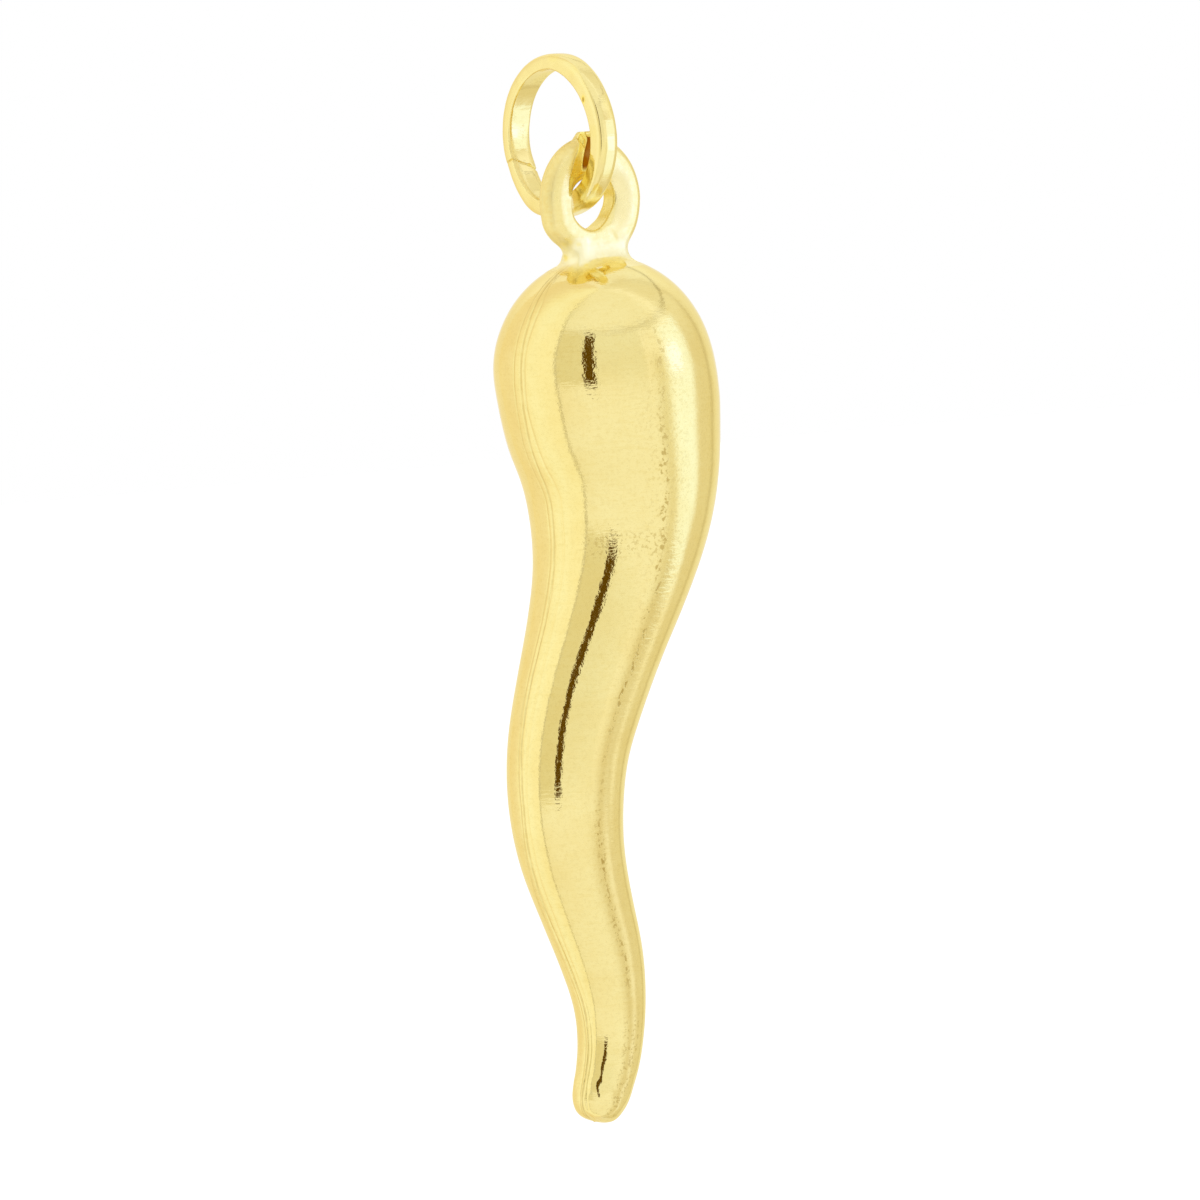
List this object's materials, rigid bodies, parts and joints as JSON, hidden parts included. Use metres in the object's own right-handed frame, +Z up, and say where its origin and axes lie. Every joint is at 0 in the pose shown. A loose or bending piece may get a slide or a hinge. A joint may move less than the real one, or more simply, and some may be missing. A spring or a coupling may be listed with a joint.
{
  "type": "horn pendant",
  "caption": "Curved horn pendant: a solid tapering horn with a short neck and an eye, swinging from a closed jump ring.",
  "frame": {"origin": "inner top of the jump ring, where the pendant hangs from a chain", "axes": "+Z up, against gravity; -Y the front; the jump ring lies in the YZ plane and turns about X; the eye hole runs along Y and the horn bends in a plane parallel to XZ"},
  "size_m": [0.0092, 0.0085, 0.0399],
  "materials": {
    "horn_gold": "polished pale yellow gold colour",
    "ring_gold": "polished pale yellow gold colour"
  },
  "bodies": {
    "ring": {"jump_ring": "ring_gold"},
    "pendant": {"horn": "horn_gold"}
  },
  "joints": [
    {"name": "horn_swing", "type": "hinge", "parent": "ring", "child": "pendant", "pos_m": [0.0002, -0.0012, -0.00482], "axis": [0, 1, 0], "range_deg": [-120, 120]}
  ]
}
